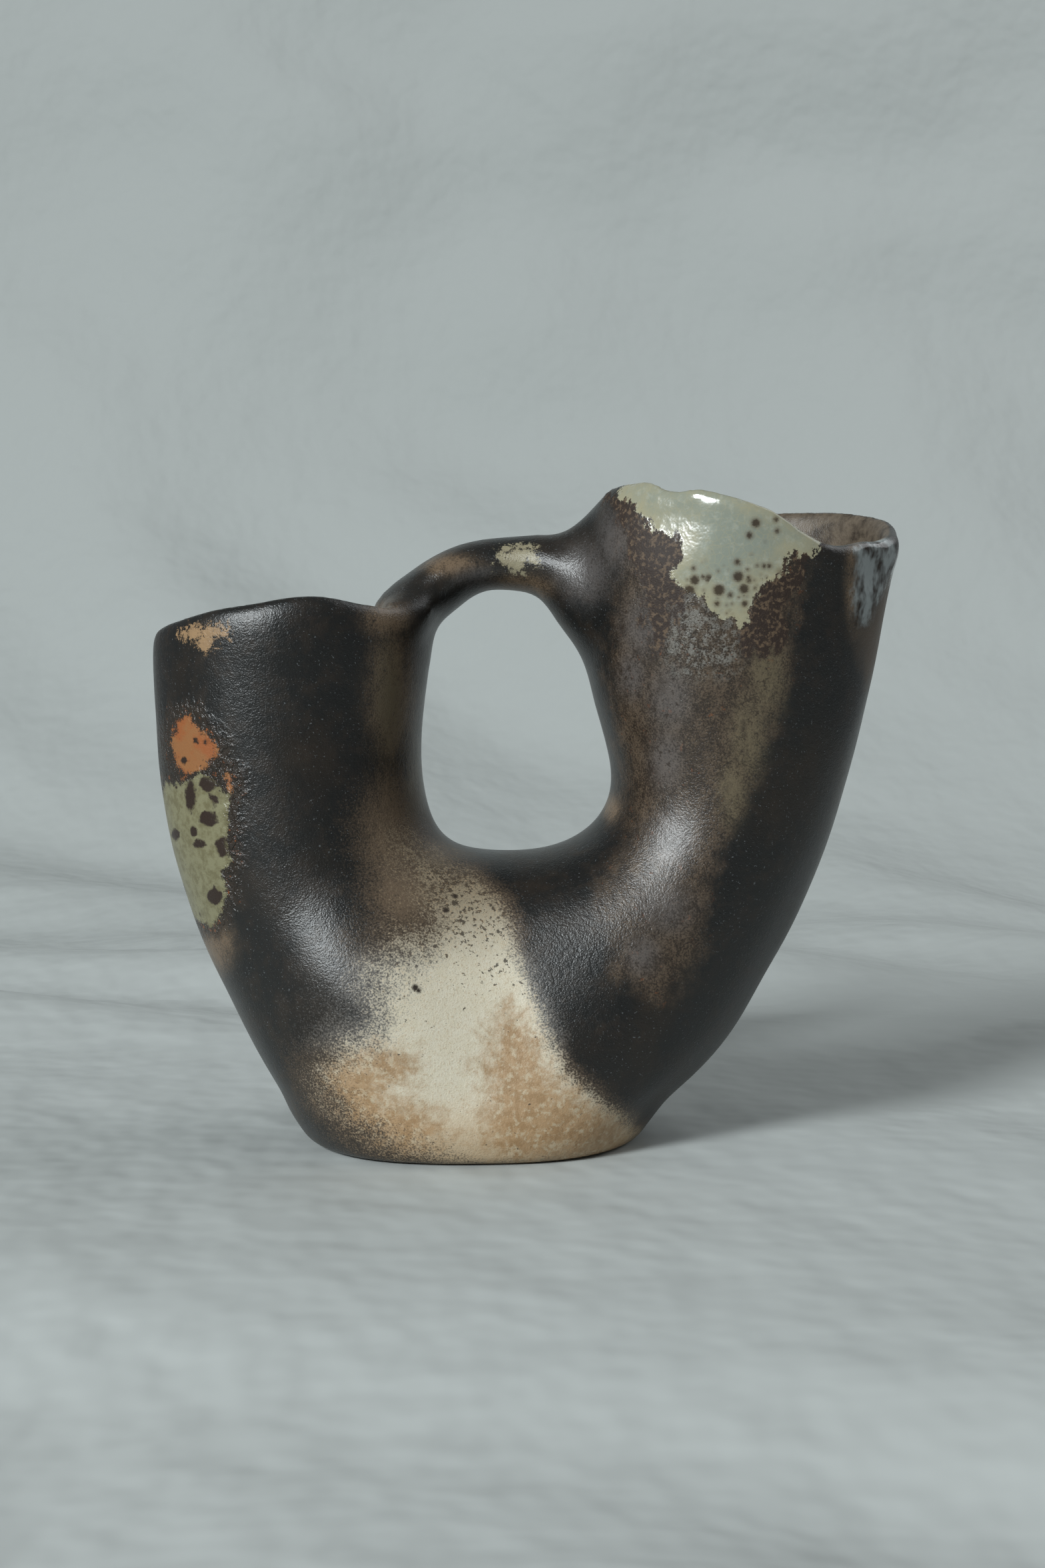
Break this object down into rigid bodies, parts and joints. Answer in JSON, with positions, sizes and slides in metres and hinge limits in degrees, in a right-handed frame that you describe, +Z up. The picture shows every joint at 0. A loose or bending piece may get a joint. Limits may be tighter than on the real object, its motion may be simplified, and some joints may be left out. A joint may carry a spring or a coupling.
{
  "type": "two-necked sculptural vase",
  "caption": "Hand-built stoneware vase whose belly parts into two open necks joined by a bridge handle, with smoke-black clay, a pale flame patch and ash-glazed lips.",
  "frame": {"origin": "centre of the foot, on the surface that the vase stands on", "axes": "+X from the lower, upright neck towards the taller, leaning neck; +Y from the front to the back; +Z up"},
  "size_m": [0.1896, 0.0854, 0.1653],
  "materials": {
    "smoked_stoneware": "smoke-blackened stoneware with a satin sheen and brown mottling",
    "flamed_stoneware": "pale cream to tan flame-marked stoneware, dry satin",
    "ash_glazed_stoneware": "grey-green crackled ash glaze over brown stoneware, glossy",
    "bare_stoneware": "bare unglazed stoneware, matt"
  },
  "bodies": {
    "root": {"base_slab": "bare_stoneware", "foot_course": "flamed_stoneware", "belly_course": "flamed_stoneware", "shoulder_course": "smoked_stoneware", "saddle": "smoked_stoneware", "left_neck_lower": "smoked_stoneware", "left_neck_middle": "smoked_stoneware", "left_neck_upper": "smoked_stoneware", "left_lip": "smoked_stoneware", "right_neck_lower": "smoked_stoneware", "right_neck_middle": "smoked_stoneware", "right_neck_upper": "smoked_stoneware", "right_shoulder": "smoked_stoneware", "right_lip": "ash_glazed_stoneware", "bridge_handle": "smoked_stoneware"}
  },
  "joints": []
}
